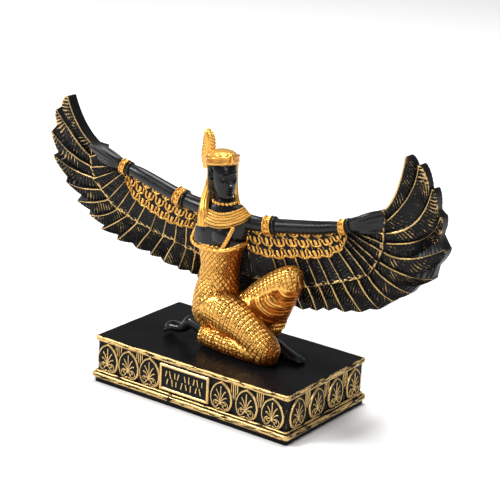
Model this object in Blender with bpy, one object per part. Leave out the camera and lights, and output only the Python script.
"""Kneeling goddess with spread wings on a rectangular plinth with a palmette frieze.

Row frame: origin at the centre of the plinth's underside, +Z up, +X along the plinth's
long side towards the figure's raised knee, and -Y through the long face with the plaque.
The figure's own tables are in millimetres at its nominal size, with heights counted from
the plinth's top, and follow FIGURE_HEIGHT.
"""
import math

import bmesh
import bpy
from mathutils import Vector

MM = 0.001

# plinth
PLINTH_LENGTH = 81.9 * MM
PLINTH_DEPTH = 48.0 * MM
PLINTH_HEIGHT = 17.0 * MM
FOOT_HEIGHT = 1.8 * MM
FOOT_INSET = 0.7 * MM
MOULDING_TOP = 4.5 * MM
MOULDING_STEP = 0.7 * MM
SLAB_THICKNESS = 1.8 * MM
SLAB_INSET = 0.7 * MM
FRIEZE_RECESS = 1.0 * MM
BEAD_DROP = 0.9 * MM
CORNER_CUT = 0.6 * MM
EDGE_CUT = 0.25 * MM
FRIEZE_CLEARANCE = 0.15 * MM

# palmettes, reeds and plaque of the frieze
PALMETTE_WIDTH = 8.6 * MM
PALMETTE_RELIEF = 1.5 * MM
PALMETTE_COUNT_FRONT_SIDE = 3
PALMETTE_COUNT_BACK = 8
PALMETTE_COUNT_END = 4
PALMETTE_FILL = 0.93
PALMETTE_HUB = 0.34
PALMETTE_CREST = 0.72
PALMETTE_WALL = 0.45
PALMETTE_VALLEY = 0.62
PALMETTE_BOSS = 0.8
PALMETTE_TAPER = 0.35
REED_WIDTH = 0.62 * MM
REED_RELIEF = 0.8 * MM
REED_VALLEY = 0.45
REED_START = 0.74
PLAQUE_WIDTH = 20.4 * MM
PLAQUE_HEIGHT = 9.2 * MM
PLAQUE_OFFSET = -1.7 * MM
PLAQUE_FRAME = 0.8 * MM
PLAQUE_RELIEF = 1.1 * MM
STROKE_RELIEF = 0.35 * MM
STROKE_COUNT = 7
STROKE_TALL = 0.42
STROKE_SLIM = 0.16
STROKE_BROAD = 0.30
BLOCK_EDGE = 0.15 * MM
EMBED = 0.5 * MM

# figure
FIGURE_GAP = 0.3 * MM
FIGURE_HEIGHT = 76.0 * MM
NOMINAL_HEIGHT = 76.0
SCALE = FIGURE_HEIGHT / NOMINAL_HEIGHT
AXIS_X = -4.3
WING_THICKNESS = 3.4
WING_ORIGIN_Y = 1.5
WING_LEAN = -0.15
WING_LEAN_FROM = 48.0
LEFT_SWEEP = -0.03
RIGHT_SWEEP = 0.20
FEATHER_RIDGE = 0.9
FEATHER_STEP = 0.93
TIER_STEP = 0.8
SCALES_PER_BAND = 9
SCALE_ROWS = 3
SCALE_NOTCH = 0.30
SCALE_START = 0.1
SCALE_EDGE_OUT = 2.15
SCALE_ROOT_OUT = 1.55
SCALE_BACK = -0.8
ARM_FORWARD = 1.2
RING_EDGE = 0.5

TORSO_SIDES = 14
LIMB_SIDES = 10
ARM_SIDES = 8
HEAD_SIDES = 16


def clear_scene():
    """Remove whatever the start-up scene holds."""
    for item in list(bpy.data.objects):
        bpy.data.objects.remove(item, do_unlink=True)


def material(name, colour, roughness, metallic=0.0):
    """A plain material with the given base colour."""
    mat = bpy.data.materials.new(name)
    mat.use_nodes = True
    shader = mat.node_tree.nodes["Principled BSDF"]
    shader.inputs["Base Color"].default_value = (*colour, 1.0)
    shader.inputs["Roughness"].default_value = roughness
    shader.inputs["Metallic"].default_value = metallic
    return mat


def make_object(name, verts, faces, smooth=False):
    """Mesh object with outward normals from vertex and face lists."""
    mesh = bpy.data.meshes.new(name)
    mesh.from_pydata([tuple(v) for v in verts], [], faces)
    work = bmesh.new()
    work.from_mesh(mesh)
    bmesh.ops.recalc_face_normals(work, faces=work.faces)
    bmesh.ops.triangulate(work, faces=work.faces)
    work.to_mesh(mesh)
    work.free()
    for poly in mesh.polygons:
        poly.use_smooth = smooth
    item = bpy.data.objects.new(name, mesh)
    bpy.context.scene.collection.objects.link(item)
    return item


def unite(base, members, name):
    """Turn base and members into one solid; the members stay as hidden guides."""
    group = bpy.data.collections.new(name)
    bpy.context.scene.collection.children.link(group)
    for member in members:
        bpy.context.scene.collection.objects.unlink(member)
        group.objects.link(member)
        member.hide_render = True
        member.display_type = "WIRE"
    join = base.modifiers.new(name, "BOOLEAN")
    join.operation = "UNION"
    join.solver = "EXACT"
    join.operand_type = "COLLECTION"
    join.collection = group


class Shells:
    """Collects several closed shells in one vertex and face list."""

    def __init__(self):
        self.verts = []
        self.faces = []

    def add(self, verts, faces):
        start = len(self.verts)
        self.verts.extend(verts)
        self.faces.extend([tuple(start + i for i in face) for face in faces])


def lerp(a, b, f):
    """Point at share f of the way from a to b."""
    return tuple(p + (q - p) * f for p, q in zip(a, b))


def quadratic(start, middle, end, f):
    """Point at share f of a curve that passes middle at its half."""
    bend = tuple(2.0 * m - 0.5 * (s + e) for s, m, e in zip(start, middle, end))
    return tuple((1 - f) ** 2 * s + 2 * f * (1 - f) * b + f * f * e
                 for s, b, e in zip(start, bend, end))


def along(points, f):
    """Point at share f of the length of a polyline."""
    spans = [math.dist(points[i], points[i + 1]) for i in range(len(points) - 1)]
    want = f * sum(spans)
    for i, span in enumerate(spans):
        if want <= span or i == len(spans) - 1:
            return lerp(points[i], points[i + 1], want / span)
        want -= span
    return points[-1]


def skin(rings, hubs=True):
    """Closed shell over equal rings of points, with a fan or one flat face at each end."""
    count = len(rings[0])
    verts = [p for ring in rings for p in ring]
    faces = []
    for r in range(len(rings) - 1):
        for i in range(count):
            j = (i + 1) % count
            a = r * count
            b = a + count
            faces.append((a + i, a + j, b + j, b + i))
    if not hubs:
        end = (len(rings) - 1) * count
        faces.append(tuple(range(count)))
        faces.append(tuple(range(end, end + count)))
        return verts, faces
    for ring, start in ((rings[0], 0), (rings[-1], (len(rings) - 1) * count)):
        centre = tuple(sum(p[k] for p in ring) / count for k in range(3))
        verts.append(centre)
        hub = len(verts) - 1
        for i in range(count):
            faces.append((hub, start + i, start + (i + 1) % count))
    return verts, faces


def slab_between(front, back):
    """Closed shell between two equal grids of points."""
    rows = len(front)
    cols = len(front[0])
    verts = [p for row in front for p in row] + [p for row in back for p in row]
    half = rows * cols
    faces = []
    for r in range(rows - 1):
        for c in range(cols - 1):
            a = r * cols + c
            faces.append((a, a + 1, a + cols + 1, a + cols))
            faces.append((half + a, half + a + cols, half + a + cols + 1, half + a + 1))
    rim = [(0, c) for c in range(cols)]
    rim += [(r, cols - 1) for r in range(1, rows)]
    rim += [(rows - 1, c) for c in range(cols - 2, -1, -1)]
    rim += [(r, 0) for r in range(rows - 2, 0, -1)]
    for i, (r, c) in enumerate(rim):
        r2, c2 = rim[(i + 1) % len(rim)]
        a = r * cols + c
        b = r2 * cols + c2
        faces.append((a, b, half + b, half + a))
    return verts, faces


def plinth_outline(inset, z):
    """Rectangle with cut corners at a given inset and height."""
    x = PLINTH_LENGTH / 2 - inset
    y = PLINTH_DEPTH / 2 - inset
    c = CORNER_CUT
    return [(x, -y + c, z), (x, y - c, z), (x - c, y, z), (-x + c, y, z),
            (-x, y - c, z), (-x, -y + c, z), (-x + c, -y, z), (x - c, -y, z)]


def plinth_body():
    """The plinth's stepped block without its relief."""
    ground = SLAB_INSET + FRIEZE_RECESS
    slab_bottom = PLINTH_HEIGHT - SLAB_THICKNESS
    bead = MOULDING_TOP - BEAD_DROP
    profile = [
        (FOOT_INSET + EDGE_CUT, 0.0),
        (FOOT_INSET, EDGE_CUT),
        (FOOT_INSET, FOOT_HEIGHT - EDGE_CUT),
        (0.0, FOOT_HEIGHT),
        (0.0, bead - EDGE_CUT),
        (MOULDING_STEP, bead),
        (MOULDING_STEP, MOULDING_TOP - EDGE_CUT),
        (ground, MOULDING_TOP),
        (ground, slab_bottom - EDGE_CUT),
        (SLAB_INSET + EDGE_CUT, slab_bottom),
        (SLAB_INSET, slab_bottom + EDGE_CUT),
        (SLAB_INSET, PLINTH_HEIGHT - EDGE_CUT),
        (SLAB_INSET + EDGE_CUT, PLINTH_HEIGHT),
    ]
    return skin([plinth_outline(inset, z) for inset, z in profile])


PALMETTE_HALF = [(0.0, 0.06), (0.55, 0.0), (0.78, 0.16), (1.0, 0.42), (0.82, 0.70), (0.0, 1.0)]


def palmette(place, centre, width, bottom, height):
    """One palmette: place maps (along, up, out) to a point of the row frame."""
    half = [(p * width / 2, q) for p, q in PALMETTE_HALF]
    outline = half + [(-p, q) for p, q in reversed(half[1:-1])]
    rows = []
    wall = PALMETTE_WALL * PALMETTE_RELIEF
    for shrink, lift in ((1.0, -EMBED), (1.0, wall), (PALMETTE_CREST, None)):
        row = []
        for i, (p, q) in enumerate(outline):
            if lift is None:
                ridge = 1.0 if i % 2 else PALMETTE_VALLEY
                out = ridge * PALMETTE_RELIEF * (1.0 - PALMETTE_TAPER * q)
            else:
                out = lift
            up = PALMETTE_HUB + (q - PALMETTE_HUB) * shrink
            row.append(place(centre + p * shrink, bottom + up * height, out))
        rows.append(row)
    verts = [p for row in rows for p in row]
    n = len(outline)
    faces = [tuple(range(n))]
    for r in range(2):
        for i in range(n):
            j = (i + 1) % n
            faces.append((r * n + i, r * n + j, (r + 1) * n + j, (r + 1) * n + i))
    boss = PALMETTE_BOSS * PALMETTE_RELIEF
    verts.append(place(centre, bottom + PALMETTE_HUB * height, boss))
    for i in range(n):
        faces.append((len(verts) - 1, 2 * n + i, 2 * n + (i + 1) % n))
    return verts, faces


def reeds(place, centre, bottom, top):
    """Three upright reeds standing side by side between two palmettes."""
    section = []
    low = REED_VALLEY * REED_RELIEF
    for i in range(-1, 2):
        mid = centre + i * REED_WIDTH
        section.append((mid - REED_WIDTH / 2, low))
        section.append((mid, REED_RELIEF))
    section.append((centre + 1.5 * REED_WIDTH, low))
    rings = []
    for z in (bottom, top):
        ring = [place(p, z, out) for p, out in section]
        ring.append(place(centre + 1.5 * REED_WIDTH, z, -EMBED))
        ring.append(place(centre - 1.5 * REED_WIDTH, z, -EMBED))
        rings.append(ring)
    return skin(rings, hubs=False)


def block(place, a0, a1, z0, z1, out, inner=-EMBED):
    """A raised bar on a wall, with its edges drawn in a little at the top."""
    e = min(BLOCK_EDGE, 0.2 * (z1 - z0), 0.2 * (a1 - a0))
    rings = []
    for cut, o in ((0.0, inner), (0.0, out - e), (e, out)):
        rings.append([place(a0 + cut, z0 + cut, o), place(a1 - cut, z0 + cut, o),
                      place(a1 - cut, z1 - cut, o), place(a0 + cut, z1 - cut, o)])
    return skin(rings)


def plaque(place):
    """Closed shell of the framed plaque with its sunk field."""
    z0 = (MOULDING_TOP + PLINTH_HEIGHT - SLAB_THICKNESS - PLAQUE_HEIGHT) / 2
    z1 = z0 + PLAQUE_HEIGHT
    a0 = PLAQUE_OFFSET - PLAQUE_WIDTH / 2
    a1 = PLAQUE_OFFSET + PLAQUE_WIDTH / 2
    f = PLAQUE_FRAME
    field = PLAQUE_RELIEF - STROKE_RELIEF
    rings = []
    for cut, out in ((0.0, -EMBED), (0.0, PLAQUE_RELIEF), (f, PLAQUE_RELIEF), (f, field)):
        rings.append([place(a0 + cut, z0 + cut, out), place(a1 - cut, z0 + cut, out),
                      place(a1 - cut, z1 - cut, out), place(a0 + cut, z1 - cut, out)])
    return skin(rings)


def strokes(place):
    """Rows of short raised strokes on the plaque's field."""
    shells = Shells()
    z0 = (MOULDING_TOP + PLINTH_HEIGHT - SLAB_THICKNESS - PLAQUE_HEIGHT) / 2
    z1 = z0 + PLAQUE_HEIGHT
    a0 = PLAQUE_OFFSET - PLAQUE_WIDTH / 2
    f = PLAQUE_FRAME
    field = PLAQUE_RELIEF - STROKE_RELIEF
    pitch = (PLAQUE_WIDTH - 4 * f) / STROKE_COUNT
    tall = STROKE_TALL * PLAQUE_HEIGHT
    for i in range(STROKE_COUNT):
        x = a0 + 2 * f + (i + 0.5) * pitch
        mid = (z0 + z1) / 2
        wide = (STROKE_BROAD if i % 2 else STROKE_SLIM) * pitch
        shells.add(*block(place, x - wide, x + wide, mid - tall / 2, mid + tall / 2,
                          PLAQUE_RELIEF, field - EMBED))
    return shells


def wall_frames():
    """Place functions of the four frieze walls: front, back, right end, left end."""
    ground = SLAB_INSET + FRIEZE_RECESS
    x = PLINTH_LENGTH / 2 - ground
    y = PLINTH_DEPTH / 2 - ground
    return (lambda a, z, out: (a, -y - out, z),
            lambda a, z, out: (-a, y + out, z),
            lambda a, z, out: (x + out, a, z),
            lambda a, z, out: (-x - out, -a, z))


def frieze():
    """All relief on the plinth's four walls as one set of closed shells."""
    shells = Shells()
    front, back, right, left = wall_frames()
    bottom = MOULDING_TOP + FRIEZE_CLEARANCE
    top = PLINTH_HEIGHT - SLAB_THICKNESS - EDGE_CUT - FRIEZE_CLEARANCE
    tall = top - bottom
    ground = SLAB_INSET + FRIEZE_RECESS
    x = PLINTH_LENGTH / 2 - ground
    y = PLINTH_DEPTH / 2 - ground
    a0 = PLAQUE_OFFSET - PLAQUE_WIDTH / 2
    a1 = PLAQUE_OFFSET + PLAQUE_WIDTH / 2
    runs = [(front, -x, a0, PALMETTE_COUNT_FRONT_SIDE), (front, a1, x, PALMETTE_COUNT_FRONT_SIDE),
            (back, -x, x, PALMETTE_COUNT_BACK), (right, -y, y, PALMETTE_COUNT_END),
            (left, -y, y, PALMETTE_COUNT_END)]
    for place, start, end, count in runs:
        pitch = (end - start) / count
        width = min(PALMETTE_WIDTH, PALMETTE_FILL * pitch)
        for i in range(count):
            centre = start + (i + 0.5) * pitch
            shells.add(*palmette(place, centre, width, bottom, PALMETTE_FILL * tall))
        for i in range(1, count):
            shells.add(*reeds(place, start + i * pitch, bottom + REED_START * tall, top))
    return shells


def build_plinth(mat):
    """Plinth node: stepped block with its carved frieze."""
    base = make_object("plinth", *plinth_body())
    relief = frieze()
    carved = make_object("frieze_relief", relief.verts, relief.faces)
    base.data.materials.append(mat)
    front = wall_frames()[0]
    panel = make_object("plaque", *plaque(front))
    marks = strokes(front)
    lettering = make_object("plaque_strokes", marks.verts, marks.faces)
    for item in (carved, panel, lettering):
        item.data.materials.append(mat)
    unite(base, [carved], "frieze_members")
    unite(base, [panel, lettering], "plaque_members")
    return base


def fig(x, y, z):
    """Row-frame point of a figure point, kept from sinking below the figure's flat sole."""
    lift = PLINTH_HEIGHT + FIGURE_GAP
    return (x * SCALE, y * SCALE, lift + max(z, 0.0) * SCALE)


def limb(points, radii, hint, sides):
    """Rings along a path; each radius pair is across the hint direction and across it."""
    rings = []
    last = len(points) - 1
    for i, p in enumerate(points):
        a = Vector(points[max(i - 1, 0)])
        b = Vector(points[min(i + 1, last)])
        tangent = (b - a).normalized()
        u = (hint - tangent * hint.dot(tangent)).normalized()
        v = tangent.cross(u)
        ru, rv = radii[i]
        ring = []
        for k in range(sides):
            t = 2 * math.pi * k / sides
            q = Vector(p) + u * (ru * math.cos(t)) + v * (rv * math.sin(t))
            ring.append(fig(*q))
        rings.append(ring)
    return skin(rings)


def stack(levels, turn, sides):
    """Upright body from (x, y, z, half width, half depth) levels turned about Z."""
    rings = []
    ct = math.cos(turn)
    st = math.sin(turn)
    for x, y, z, a, b in levels:
        ring = []
        for k in range(sides):
            t = 2 * math.pi * k / sides
            p = a * math.cos(t)
            q = b * math.sin(t)
            ring.append(fig(x + p * ct - q * st, y + p * st + q * ct, z))
        rings.append(ring)
    return skin(rings)


UP = Vector((0, 0, 1))
ACROSS = Vector((0, 1, 0))

# wing tables: distance from the figure's axis and height of each feather line where it
# leaves the arm, at the tier edge, half way out, at its tip, and the notch before its tip
LEFT_ROOT = [(52.8, 59.2), (53.0, 56.9), (49.4, 52.8), (45.1, 52.3), (42.3, 52.6), (39.4, 52.2),
             (36.4, 51.6), (33.0, 50.7), (29.7, 49.7), (25.9, 48.5), (23.0, 47.8), (20.0, 47.0),
             (16.6, 46.3), (13.7, 45.8), (11.2, 45.3), (5.0, 44.5), (0.0, 43.5)]
LEFT_TIER = [(56.7, 59.5), (57.6, 54.9), (57.8, 51.0), (57.1, 46.8), (54.3, 43.2), (51.5, 39.9),
             (47.7, 37.1), (43.4, 35.6), (39.1, 34.0), (33.1, 32.6), (28.0, 31.3), (22.9, 30.5),
             (18.3, 29.4), (14.5, 28.4), (11.6, 27.5), (5.4, 26.4), (0.0, 25.8)]
LEFT_HALF = [(62.3, 65.8), (63.9, 59.8), (67.1, 54.5), (66.4, 48.3), (63.0, 41.8), (58.4, 37.4),
             (54.3, 33.3), (50.0, 31.0), (43.9, 29.3), (37.0, 28.1), (31.4, 26.7), (26.2, 25.8),
             (20.3, 24.6), (15.7, 24.0), (12.7, 23.1), (5.9, 22.4), (0.0, 22.0)]
LEFT_TIP = [(65.9, 75.1), (71.4, 69.5), (74.7, 60.9), (74.8, 51.9), (70.2, 42.7), (65.8, 36.4),
            (60.8, 32.1), (55.7, 27.6), (48.8, 25.0), (40.4, 23.8), (34.3, 22.6), (28.7, 21.4),
            (22.3, 20.1), (16.8, 19.7), (14.3, 19.0), (6.8, 18.8), (0.0, 18.6)]
LEFT_NOTCH = [(65.9, 75.1), (70.2, 70.5), (73.1, 63.1), (73.5, 52.9), (70.5, 44.4), (64.3, 38.5),
              (61.1, 33.6), (55.2, 28.9), (49.1, 26.6), (42.5, 24.9), (35.1, 23.5), (30.4, 22.3),
              (23.6, 20.5), (18.6, 20.1), (15.1, 19.4), (7.8, 19.3), (0.9, 18.9)]
RIGHT_ROOT = [(49.9, 54.7), (46.5, 52.3), (44.4, 49.5), (43.1, 48.2), (42.0, 47.7), (40.7, 47.1),
              (39.3, 46.8), (37.6, 46.5), (34.8, 46.0), (31.0, 45.6), (27.5, 45.0), (24.0, 44.7),
              (20.4, 44.0), (16.9, 43.7), (13.3, 43.4), (6.0, 43.2), (0.0, 43.5)]
RIGHT_TIER = [(54.6, 56.9), (54.9, 52.8), (54.4, 48.9), (54.2, 45.4), (53.9, 42.5), (52.5, 38.7),
              (51.1, 35.9), (49.0, 33.0), (45.6, 30.9), (40.4, 28.7), (36.2, 27.2), (31.9, 25.6),
              (28.0, 24.4), (23.4, 23.1), (19.0, 22.5), (8.8, 23.8), (0.0, 25.8)]
RIGHT_HALF = [(58.6, 64.5), (62.8, 63.5), (64.5, 54.3), (67.2, 49.1), (62.6, 41.5), (61.9, 35.4),
              (56.9, 31.4), (52.8, 28.0), (49.0, 25.1), (43.1, 23.8), (38.5, 21.8), (33.6, 21.5),
              (29.4, 20.6), (24.4, 19.6), (20.0, 18.9), (9.6, 20.2), (0.0, 22.0)]
RIGHT_TIP = [(61.4, 76.0), (65.6, 73.8), (70.2, 66.5), (73.0, 57.7), (74.4, 46.8), (70.3, 35.8),
             (63.3, 29.4), (57.5, 25.4), (53.1, 21.5), (46.9, 19.1), (40.9, 17.7), (35.3, 17.1),
             (31.0, 16.2), (26.0, 15.5), (21.4, 15.3), (10.4, 16.7), (0.0, 18.6)]
RIGHT_NOTCH = [(61.4, 76.0), (64.3, 72.9), (69.0, 66.0), (71.7, 59.3), (72.6, 50.9), (71.5, 40.0),
               (65.3, 32.0), (59.2, 26.4), (54.5, 22.9), (49.0, 20.3), (42.7, 18.4), (37.1, 18.2),
               (32.8, 17.3), (27.8, 16.2), (22.8, 15.9), (11.6, 17.3), (0.9, 18.9)]
LEFT_FEATHERS = (LEFT_ROOT, LEFT_TIER, LEFT_HALF, LEFT_TIP, LEFT_NOTCH)
RIGHT_FEATHERS = (RIGHT_ROOT, RIGHT_TIER, RIGHT_HALF, RIGHT_TIP, RIGHT_NOTCH)

# arm centre lines and hands as (distance, height, radius up, radius out)
LEFT_ARM = [(4.5, 45.4, 3.2, 3.0), (10.9, 46.2, 2.7, 2.7), (19.2, 47.7, 2.5, 2.5),
            (34.0, 52.0, 2.4, 2.3), (38.4, 53.2, 2.1, 2.0),
            (42.9, 54.0, 1.8, 1.7), (45.2, 55.0, 2.4, 1.9), (48.2, 56.3, 3.2, 1.9),
            (51.6, 57.4, 3.3, 1.7), (54.6, 58.2, 2.6, 1.4), (57.6, 59.0, 1.1, 0.8)]
RIGHT_ARM = [(3.5, 43.9, 3.2, 3.0), (8.6, 44.0, 2.7, 2.7), (14.9, 44.2, 2.5, 2.5),
             (31.0, 46.3, 2.4, 2.3), (36.5, 47.5, 2.1, 2.0),
             (41.4, 48.6, 1.8, 1.7), (44.0, 49.7, 2.4, 1.9), (47.2, 51.0, 3.0, 2.0),
             (50.6, 52.3, 3.4, 1.8), (53.4, 53.0, 3.6, 1.4), (54.8, 53.2, 3.2, 0.9)]
LEFT_RINGS = [(19.3, 1.4, 3.2), (42.4, 1.1, 2.6)]
RIGHT_RINGS = [(14.9, 1.4, 3.2), (40.9, 1.1, 2.6)]
LEFT_BAND = [(42.3, 49.0), (39.3, 42.7), (34.7, 40.3), (29.6, 38.4), (24.6, 36.9), (19.1, 36.6),
             (14.0, 37.2), (9.0, 38.6)]
RIGHT_BAND = [(42.6, 45.6), (40.9, 40.4), (36.4, 36.8), (29.0, 34.6), (24.8, 34.4), (17.9, 32.5),
              (12.6, 32.5), (7.9, 33.7)]


def wing_place(side, distance, height, out):
    """Figure point on a wing's curved plane, moved out towards the front by out."""
    sweep = LEFT_SWEEP if side < 0 else RIGHT_SWEEP
    y = WING_ORIGIN_Y + sweep * distance + WING_LEAN * (height - WING_LEAN_FROM) - out
    return (AXIS_X + side * distance, y, height)


def wing_grids(side, root, tier, half, tip, notch):
    """Front and back point rows of one wing: lapped feathers in two tiers, stepped tips."""
    count = len(root) - 1
    columns = []
    for k in range(count):
        columns += [(k, 0.0, 1.0), (k, 0.5, 0.55), (k, FEATHER_STEP, 0.0)]
    columns.append((count - 1, 1.0, 0.6))
    inner_rows = (0.0, 1.0)
    outer_rows = (0.04, 0.4, 0.75, 1.0)
    front = [[] for _ in range(len(inner_rows) + len(outer_rows))]
    back = [[] for _ in front]
    for k, f, ridge in columns:
        r = lerp(root[k], root[k + 1], f)
        b = lerp(tier[k], tier[k + 1], f)
        m = lerp(half[k], half[k + 1], f)
        if f < 1.0:
            t = lerp(tip[k], notch[k + 1], f / FEATHER_STEP)
        else:
            t = tip[k + 1]
        row = 0
        for s in inner_rows:
            d, h = lerp(r, b, s)
            out = TIER_STEP + 0.6 * FEATHER_RIDGE * ridge
            front[row].append(fig(*wing_place(side, d, h, out)))
            back[row].append(fig(*wing_place(side, d, h, -WING_THICKNESS)))
            row += 1
        for s in outer_rows:
            d, h = quadratic(b, m, t, s)
            out = FEATHER_RIDGE * ridge
            under = -WING_THICKNESS + 0.5 * FEATHER_RIDGE * (1.0 - ridge)
            front[row].append(fig(*wing_place(side, d, h, out)))
            back[row].append(fig(*wing_place(side, d, h, under)))
            row += 1
    return front, back


def wings():
    """Closed shell of both wings, which run into each other behind the torso."""
    left_front, left_back = wing_grids(-1, *LEFT_FEATHERS)
    right_front, right_back = wing_grids(1, *RIGHT_FEATHERS)
    front = [a + b[-2::-1] for a, b in zip(left_front, right_front)]
    back = [a + b[-2::-1] for a, b in zip(left_back, right_back)]
    return slab_between(front, back)


def scale_band(side, arm, lower):
    """Closed shell of the lapped scales that lie below the arm."""
    axis = [(p[0], p[1]) for p in arm[:6]]
    axis = list(reversed(axis))
    cols = 2 * SCALES_PER_BAND + 1
    lines = []
    for row in range(SCALE_ROWS):
        lines += [(row, False), (row, True)]
    front = []
    back = []
    for row, at_edge in lines:
        line = []
        for c in range(cols):
            f = c / (cols - 1)
            top = along(axis, f)
            low = along(lower, f)
            valley = (c + row) % 2 == 0
            if at_edge:
                v = (row + 1.0 - (SCALE_NOTCH if valley else 0.0)) / SCALE_ROWS
                out = SCALE_EDGE_OUT
            elif row:
                v = (row - (0.0 if valley else SCALE_NOTCH)) / SCALE_ROWS
                out = SCALE_ROOT_OUT
            else:
                v = SCALE_START
                out = SCALE_ROOT_OUT
            d, h = lerp(top, low, v)
            line.append((d, h, out))
        front.append([fig(*wing_place(side, d, h, out)) for d, h, out in line])
        back.append([fig(*wing_place(side, d, h, SCALE_BACK)) for d, h, out in line])
    return slab_between(front, back)


def arm_path(side, arm):
    """Centre points and radii of an arm with its hand."""
    points = [wing_place(side, d, h, ARM_FORWARD) for d, h, _, _ in arm]
    radii = [(a, b) for _, _, a, b in arm]
    return points, radii


def arm_ring(side, arm, distance, half_length, radius):
    """A band round an arm at the given distance from the figure's axis."""
    for near, far in zip(arm, arm[1:]):
        if near[0] <= distance <= far[0]:
            break
    f = (distance - near[0]) / (far[0] - near[0])
    centre = Vector(wing_place(side, *lerp(near[:2], far[:2], f), ARM_FORWARD))
    start = Vector(wing_place(side, near[0], near[1], ARM_FORWARD))
    end = Vector(wing_place(side, far[0], far[1], ARM_FORWARD))
    step = (end - start).normalized()
    edge = radius - RING_EDGE
    profile = [(-1.0, edge), (-0.8, radius), (0.8, radius), (1.0, edge)]
    points = [centre + step * (share * half_length) for share, _ in profile]
    return limb(points, [(r, r) for _, r in profile], UP, ARM_SIDES)


# torso levels as (x, y, z, half width, half depth), limbs as centre points with radii
TORSO = [(-5.6, -0.6, 4.5, 4.6, 4.8), (-6.5, -0.8, 8.5, 7.2, 6.6), (-6.3, -0.8, 13.0, 8.2, 7.4),
         (-6.0, -0.6, 18.0, 8.0, 7.2), (-5.8, -0.3, 23.0, 7.0, 6.2), (-5.7, 0.0, 27.0, 6.7, 5.9),
         (-5.7, 0.0, 31.0, 7.3, 6.1), (-5.8, 0.1, 35.2, 8.7, 6.4), (-5.8, 0.1, 35.8, 8.4, 5.9),
         (-5.8, 0.2, 40.5, 9.3, 6.0), (-5.6, 0.4, 44.5, 9.2, 5.4), (-5.3, 0.6, 48.0, 7.6, 4.4),
         (-5.0, 0.4, 50.4, 4.2, 3.4), (-4.9, 0.2, 53.0, 2.9, 2.9), (-5.2, 0.1, 57.0, 2.8, 2.9)]
TORSO_TURN = math.radians(11)
NEAR_THIGH = [(-8.0, -2.5, 13.5), (-3.0, -3.6, 13.6), (3.0, -4.5, 12.4), (9.0, -5.0, 10.4),
              (14.5, -5.3, 7.5), (18.6, -5.5, 5.0), (21.4, -5.5, 4.1), (23.0, -5.5, 3.9)]
NEAR_THIGH_R = [(6.5, 6.0), (7.0, 6.0), (6.7, 5.6), (6.0, 5.2), (5.5, 4.9), (5.2, 4.6),
                (4.1, 3.6), (2.0, 1.8)]
NEAR_SHIN = [(18.8, -5.6, 3.7), (13.0, -6.0, 3.5), (3.0, -5.9, 3.3),
             (-4.2, -5.3, 3.4), (-6.8, -5.0, 3.7), (-7.9, -4.9, 3.9)]
NEAR_SHIN_R = [(4.2, 4.4), (4.0, 4.2), (3.6, 3.8), (3.5, 3.4), (3.2, 3.1), (2.5, 2.4)]
REAR_FOOT = [(-6.0, -4.8, 4.3), (-11.8, -4.6, 6.1), (-13.8, -4.6, 6.2), (-16.6, -4.5, 3.6),
             (-22.0, -4.3, 2.8), (-24.0, -4.2, 2.0)]
REAR_FOOT_R = [(2.0, 2.0), (2.2, 2.2), (2.2, 2.1), (1.7, 1.9), (2.0, 2.5), (1.1, 2.0)]
FAR_THIGH = [(-6.0, 1.8, 13.0), (-0.5, 2.6, 13.4), (5.0, 3.2, 15.6), (10.0, 3.9, 20.2),
             (16.4, 4.4, 25.2), (21.4, 4.7, 28.2), (24.0, 4.8, 28.6)]
FAR_THIGH_R = [(6.0, 5.2), (5.6, 5.2), (4.8, 5.0), (4.9, 5.0), (5.0, 4.9), (4.3, 3.8), (1.9, 1.8)]
FAR_SHIN = [(20.0, 4.7, 28.6), (19.6, 4.7, 25.5), (16.8, 4.9, 16.5), (14.6, 5.0, 10.0),
            (13.8, 5.0, 7.4), (13.7, 5.0, 6.6), (13.4, 5.0, 4.8), (13.0, 5.0, 2.0)]
FAR_SHIN_R = [(3.4, 3.6), (4.6, 4.6), (3.7, 3.6), (2.9, 3.0), (2.7, 2.8),
              (2.2, 2.2), (1.9, 1.9), (2.3, 2.0)]
FRONT_FOOT = [(10.4, 5.0, 1.6), (12.6, 4.9, 2.1), (15.6, 4.6, 2.3), (19.6, 4.2, 1.5),
              (23.8, 3.7, 0.9), (26.4, 3.5, 0.6), (27.8, 3.4, 0.4)]
FRONT_FOOT_R = [(1.2, 1.4), (2.2, 2.0), (2.6, 2.2), (1.8, 2.6), (1.2, 2.7), (0.9, 2.3), (0.4, 1.2)]
SKIRT = [(-2.0, 1.6, 12.0), (3.0, 2.0, 12.2), (10.3, 3.2, 14.6), (16.0, 4.4, 17.6)]
SKIRT_R = [(6.6, 4.8), (6.9, 4.6), (7.4, 4.0), (6.0, 3.0)]

BREASTS = [("left_breast", (-8.6, -3.9, 39.4)), ("right_breast", (-2.6, -4.3, 40.0))]
BREAST_R = (3.0, 2.9, 3.0)
PLUME = [(-12.6, 0.4, 60.0), (-13.1, 0.4, 64.0), (-12.9, 0.4, 67.5), (-13.0, 0.4, 70.2),
         (-13.5, 0.4, 71.8), (-14.4, 0.4, 72.7)]
PLUME_R = [(1.0, 2.3), (1.0, 2.8), (1.0, 2.65), (1.0, 2.4), (0.9, 1.9), (0.6, 1.0)]
LEFT_LAPPET = [(-11.4, -0.6, 61.0), (-12.0, -1.2, 56.0), (-12.0, -2.4, 50.5), (-11.9, -4.2, 46.0),
               (-11.7, -5.2, 42.4)]
LEFT_LAPPET_R = [(1.3, 1.2), (1.6, 1.4), (1.6, 1.6), (1.3, 1.9), (0.9, 1.9)]
RIGHT_LAPPET = [(-4.6, 4.4, 61.0), (-4.0, 4.3, 56.0), (-2.4, 3.2, 51.5), (0.2, 1.2, 47.8)]
RIGHT_LAPPET_R = [(1.2, 1.2), (1.4, 1.4), (1.5, 1.6), (1.2, 1.8)]
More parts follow.
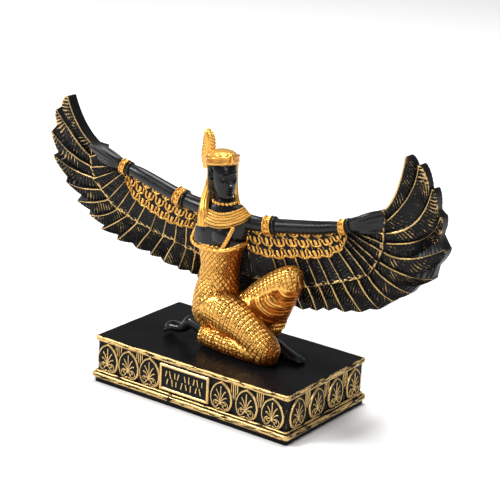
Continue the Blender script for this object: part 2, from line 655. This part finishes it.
LEFT_STRAP = [(-12.6, -3.0, 43.4), (-13.6, -3.0, 39.6), (-13.6, -1.8, 35.4)]
RIGHT_STRAP = [(1.0, -3.7, 43.4), (0.3, -5.2, 39.6), (-0.9, -5.9, 35.2)]
STRAP_R = [(0.55, 0.8), (0.55, 0.8), (0.55, 0.8)]
STRAP_SIDES = 6

HEAD_TURN = math.radians(68)
HEAD_X = -6.8
HEAD_Y = 0.2
BAND_LEVELS = [(62.8, -0.2), (62.8, 0.4), (65.3, 0.3), (65.3, -0.2)]
BAND_TILT = 0.16
BAND_CENTRE = -0.2
BAND_DEPTH = 5.3
BAND_BREADTH = 5.4
# face rows as (z, half breadth, front depth, centre, rear depth, nose, lip, eye hollow)
FACE_ROWS = [(51.1, 1.7, 1.4, 1.9, 2.4, 0.0, 0.0, 0.0), (52.0, 2.4, 2.2, 1.8, 3.2, 0.0, 0.3, 0.0),
             (53.9, 3.0, 3.0, 1.6, 3.8, 0.0, 0.25, 0.0), (55.3, 3.4, 3.4, 1.3, 4.2, 0.0, 0.55, 0.0),
             (56.4, 3.6, 3.6, 1.2, 4.4, 0.9, 0.0, 0.0), (57.8, 3.9, 3.8, 1.0, 4.6, 1.5, 0.0, 0.0),
             (59.2, 4.1, 3.9, 0.9, 4.7, 0.9, 0.0, 0.25), (60.8, 4.3, 3.8, 0.8, 4.8, 0.35, 0.0, 0.45),
             (62.4, 4.3, 4.1, 0.6, 4.9, 0.0, 0.0, 0.0), (63.9, 4.0, 3.8, 0.3, 4.5, 0.0, 0.0, 0.0),
             (65.4, 3.0, 3.0, 0.0, 3.4, 0.0, 0.0, 0.0)]
# wig rows as (z, centre, half breadth, half depth)
WIG_ROWS = [(44.5, -1.6, 5.0, 2.4), (50.0, -1.9, 4.6, 2.8), (56.0, -1.9, 4.7, 3.4),
            (60.6, -1.4, 5.0, 4.2), (63.0, -0.6, 5.3, 5.1), (64.9, -0.4, 5.1, 5.0),
            (66.3, -0.4, 4.4, 4.4), (67.3, -0.4, 2.7, 2.7)]

# collar and necklace profiles as (radius, height), the collar's rim lifted over the shoulders
COLLAR_PROFILE = [(3.0, 48.6), (5.2, 48.3), (6.6, 47.4), (6.6, 46.9), (8.0, 45.5),
                  (8.0, 45.0), (9.3, 43.6), (9.3, 43.0), (8.7, 42.2), (3.0, 45.0)]
COLLAR_LIFT = 3.2
COLLAR_AT = (-5.1, -0.3)
COLLAR_BREADTH = 1.02
COLLAR_DEPTH = 0.68
NECKLACE_PROFILE = [(3.0, 49.4), (3.8, 49.7), (3.8, 50.5), (3.0, 50.8)]
NECKLACE_AT = (-4.9, -0.2)
NECKLACE_BEAD = 0.25


def head_point(forward, side, z):
    """Figure point from head axes: forward is where the face looks."""
    sx = math.sin(HEAD_TURN)
    cx = math.cos(HEAD_TURN)
    return (HEAD_X + forward * sx + side * cx, HEAD_Y - forward * cx + side * sx, z)


def head():
    """Closed shell of the head with brow, nose, lips and chin."""
    rings = []
    for z, wide, front, centre, rear, nose, lip, hollow in FACE_ROWS:
        ring = []
        for k in range(HEAD_SIDES):
            t = 2 * math.pi * k / HEAD_SIDES
            depth = front if math.cos(t) > 0 else rear
            forward = centre + depth * math.cos(t)
            side = wide * math.sin(t)
            if k == 0:
                forward += nose + lip
            elif k in (1, HEAD_SIDES - 1):
                forward += 0.6 * lip - 0.5 * hollow
            elif k in (2, HEAD_SIDES - 2):
                forward -= hollow
            ring.append(fig(*head_point(forward, side, z)))
        rings.append(ring)
    return skin(rings)


def wig_dome():
    """Closed shell of the close cap of hair above and behind the face."""
    rings = []
    for z, centre, wide, deep in WIG_ROWS:
        ring = []
        for k in range(TORSO_SIDES):
            t = 2 * math.pi * k / TORSO_SIDES
            ring.append(fig(*head_point(centre + deep * math.cos(t), wide * math.sin(t), z)))
        rings.append(ring)
    return skin(rings)


def head_band():
    """Closed shell of the band round the brow."""
    rings = []
    for z, grow in BAND_LEVELS:
        ring = []
        for k in range(TORSO_SIDES):
            t = 2 * math.pi * k / TORSO_SIDES
            forward = BAND_CENTRE + (BAND_DEPTH + grow) * math.cos(t)
            side = (BAND_BREADTH + grow) * math.sin(t)
            ring.append(fig(*head_point(forward, side, z + BAND_TILT * forward)))
        rings.append(ring)
    return skin(rings)


def collar():
    """Closed shell of the broad collar, stepped in rows."""
    rings = []
    ct = math.cos(TORSO_TURN)
    st = math.sin(TORSO_TURN)
    inner = COLLAR_PROFILE[0][0]
    outer = max(r for r, _ in COLLAR_PROFILE)
    for r, z in COLLAR_PROFILE:
        lift = COLLAR_LIFT * (r - inner) / (outer - inner)
        ring = []
        for k in range(TORSO_SIDES):
            t = 2 * math.pi * k / TORSO_SIDES
            p = r * COLLAR_BREADTH * math.cos(t)
            q = r * COLLAR_DEPTH * math.sin(t)
            x = COLLAR_AT[0] + p * ct - q * st
            y = COLLAR_AT[1] + p * st + q * ct
            ring.append(fig(x, y, z + lift * math.cos(t) ** 2))
        rings.append(ring)
    return skin(rings)


def necklace():
    """Closed shell of the bead string under the chin."""
    rings = []
    for r, z in NECKLACE_PROFILE:
        ring = []
        for k in range(TORSO_SIDES):
            t = 2 * math.pi * k / TORSO_SIDES
            grow = r + (NECKLACE_BEAD if k % 2 else 0.0)
            x = NECKLACE_AT[0] + grow * math.cos(t)
            ring.append(fig(x, NECKLACE_AT[1] + grow * math.sin(t), z))
        rings.append(ring)
    return skin(rings)


def ball(centre, radii, sides=9, levels=5):
    """Closed ellipsoid."""
    rings = []
    for i in range(1, levels + 1):
        f = math.pi * i / (levels + 1)
        ring = []
        for k in range(sides):
            t = 2 * math.pi * k / sides
            ring.append(fig(centre[0] + radii[0] * math.sin(f) * math.cos(t),
                            centre[1] + radii[1] * math.sin(f) * math.sin(t),
                            centre[2] + radii[2] * math.cos(f)))
        rings.append(ring)
    return skin(rings)


def body_members():
    """Every shell of the figure apart from the torso."""
    items = [
        ("near_thigh", limb(NEAR_THIGH, NEAR_THIGH_R, UP, LIMB_SIDES)),
        ("near_shin", limb(NEAR_SHIN, NEAR_SHIN_R, UP, LIMB_SIDES)),
        ("rear_foot", limb(REAR_FOOT, REAR_FOOT_R, UP, ARM_SIDES)),
        ("far_thigh", limb(FAR_THIGH, FAR_THIGH_R, UP, LIMB_SIDES)),
        ("far_shin", limb(FAR_SHIN, FAR_SHIN_R, ACROSS, LIMB_SIDES)),
        ("front_foot", limb(FRONT_FOOT, FRONT_FOOT_R, UP, ARM_SIDES)),
        ("skirt_fold", limb(SKIRT, SKIRT_R, UP, LIMB_SIDES)),
        ("head", head()),
        ("wig", wig_dome()),
        ("head_band", head_band()),
        ("collar", collar()),
        ("necklace", necklace()),
        ("plume", limb(PLUME, PLUME_R, ACROSS, ARM_SIDES)),
        ("left_lappet", limb(LEFT_LAPPET, LEFT_LAPPET_R, ACROSS, ARM_SIDES)),
        ("right_lappet", limb(RIGHT_LAPPET, RIGHT_LAPPET_R, ACROSS, ARM_SIDES)),
        ("left_strap", limb(LEFT_STRAP, STRAP_R, ACROSS, STRAP_SIDES)),
        ("right_strap", limb(RIGHT_STRAP, STRAP_R, ACROSS, STRAP_SIDES)),
    ]
    for name, centre in BREASTS:
        items.append((name, ball(centre, BREAST_R)))
    return items


def wing_members():
    """Wings, scale bands, arms, hands and arm rings."""
    items = [("wings", wings())]
    tables = ((-1, "left", LEFT_ARM, LEFT_RINGS, LEFT_BAND),
              (1, "right", RIGHT_ARM, RIGHT_RINGS, RIGHT_BAND))
    for side, word, arm, rings, band in tables:
        items.append((word + "_scales", scale_band(side, arm, band)))
        points, radii = arm_path(side, arm)
        items.append((word + "_arm", limb(points, radii, UP, ARM_SIDES)))
        for i, (distance, half_length, radius) in enumerate(rings):
            items.append((word + "_ring_%d" % i, arm_ring(side, arm, distance, half_length, radius)))
    return items


def build_figure(mat):
    """Figure node: goddess, wings and ornaments as one cast solid."""
    base = make_object("winged_goddess", *stack(TORSO, TORSO_TURN, TORSO_SIDES))
    base.data.materials.append(mat)
    members = []
    for name, (verts, faces) in body_members() + wing_members():
        item = make_object(name, verts, faces)
        item.data.materials.append(mat)
        members.append(item)
    unite(base, members, "figure_members")
    return base


def main():
    clear_scene()
    build_plinth(material("cast_resin", (0.012, 0.012, 0.014), 0.35))
    build_figure(material("gilt_resin", (0.45, 0.30, 0.08), 0.35))


main()
